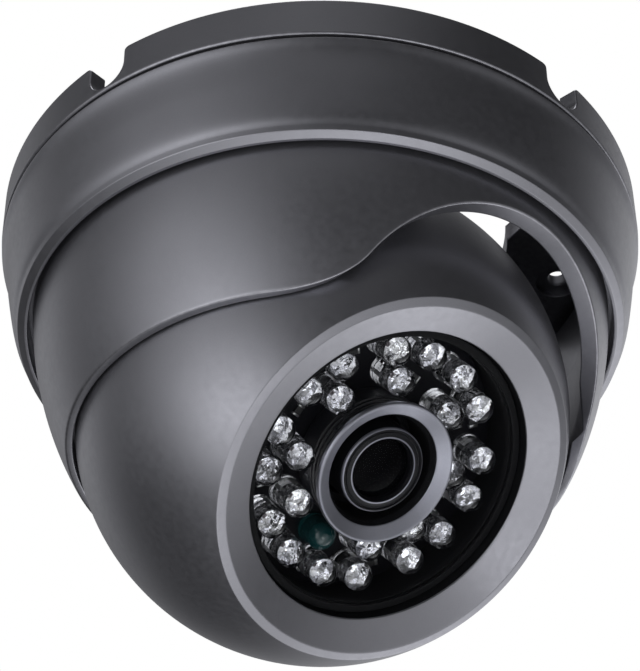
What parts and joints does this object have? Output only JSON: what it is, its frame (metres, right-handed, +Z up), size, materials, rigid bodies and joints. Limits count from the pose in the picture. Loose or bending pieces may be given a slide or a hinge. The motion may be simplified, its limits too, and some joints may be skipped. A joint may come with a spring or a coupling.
{
  "type": "dome cctv camera",
  "caption": "Ceiling dome security camera: notched base, twist-off trim ring, arched panning shroud and a tilting, rolling ball with a lens and infrared lamps behind a round window.",
  "frame": {"origin": "centre of the ball, where the pan, tilt and roll axes cross, 42.5 mm below the ceiling face and 0.5 mm below the centre of the object's box", "axes": "+Z up into the ceiling, -Y towards the side the lens looks at, +X along the tilt axis"},
  "size_m": [0.115, 0.115, 0.084],
  "materials": {
    "gunmetal_paint": "satin gunmetal powder coat on die-cast metal",
    "black_rubber": "matt moulded rubber",
    "hood_rubber": "matt grey light-shield rubber",
    "plated_steel": "bright zinc plate",
    "window_glass": "clear flat window",
    "lens_glass": "coated lens element",
    "led_resin": "water-clear epoxy over a bright reflector cup",
    "photo_sensor_resin": "teal tinted epoxy",
    "circuit_board": "black solder mask on glass fibre board",
    "sensor_chip": "glass-lidded chip",
    "anodised_black": "black anodised, finely turned",
    "black_plastic": "moulded black plastic",
    "cable_jacket": "black vinyl jacket",
    "brass": "turned brass"
  },
  "bodies": {
    "base": {"mounting_base": "gunmetal_paint", "pan_friction_ring": "black_rubber"},
    "trim": {"trim_ring": "gunmetal_paint"},
    "shroud": {"dome_shroud": "gunmetal_paint", "pivot_pin_left": "plated_steel", "pivot_pin_right": "plated_steel"},
    "cradle": {"tilt_cradle": "plated_steel"},
    "ball": {"ball_front_shell": "gunmetal_paint", "ball_rear_shell": "gunmetal_paint", "ball_seal": "black_rubber", "window_glass": "window_glass", "window_gasket": "black_rubber", "led_board": "circuit_board", "ir_led_01": "led_resin", "ir_led_02": "led_resin", "ir_led_03": "led_resin", "ir_led_04": "led_resin", "ir_led_05": "led_resin", "ir_led_06": "led_resin", "ir_led_07": "led_resin", "ir_led_08": "led_resin", "ir_led_09": "led_resin", "ir_led_10": "led_resin", "ir_led_11": "led_resin", "ir_led_12": "led_resin", "ir_led_13": "led_resin", "ir_led_14": "led_resin", "ir_led_15": "led_resin", "ir_led_16": "led_resin", "ir_led_17": "led_resin", "ir_led_18": "led_resin", "ir_led_19": "led_resin", "ir_led_20": "led_resin", "ir_led_21": "led_resin", "ir_led_22": "led_resin", "ir_led_23": "led_resin", "ir_led_24": "led_resin", "photo_sensor": "photo_sensor_resin", "lens_hood": "hood_rubber", "lens_holder": "black_plastic", "sensor_board": "circuit_board", "image_sensor": "sensor_chip", "board_standoff_1": "brass", "board_standoff_2": "brass", "board_standoff_3": "brass", "board_standoff_4": "brass", "shell_screw_1": "plated_steel", "shell_screw_2": "plated_steel", "shell_screw_3": "plated_steel", "roll_hub_nut": "plated_steel", "cable_grommet": "black_rubber", "cable_stub": "cable_jacket"},
    "lens": {"lens_barrel": "anodised_black", "lens_front_glass": "lens_glass", "lens_lock_ring": "anodised_black"}
  },
  "joints": [
    {"name": "trim_ring_twist", "type": "hinge", "parent": "base", "child": "trim", "pos_m": [0, 0, 0], "axis": [0, 0, 1], "range_deg": [0, 35]},
    {"name": "pan", "type": "hinge", "parent": "base", "child": "shroud", "pos_m": [0, 0, 0], "axis": [0, 0, 1], "range_deg": [-175, 175]},
    {"name": "tilt", "type": "hinge", "parent": "shroud", "child": "cradle", "pos_m": [0, 0, 0], "axis": [-1, 0, 0], "range_deg": [-36.6, 25.4]},
    {"name": "roll", "type": "hinge", "parent": "cradle", "child": "ball", "pos_m": [0, 0, 0], "axis": [0, -0.5962, -0.8028], "range_deg": [-90, 90]},
    {"name": "focus", "type": "hinge", "parent": "ball", "child": "lens", "pos_m": [0, 0, 0], "axis": [0, -0.5962, -0.8028], "range_deg": [-180, 180]}
  ]
}
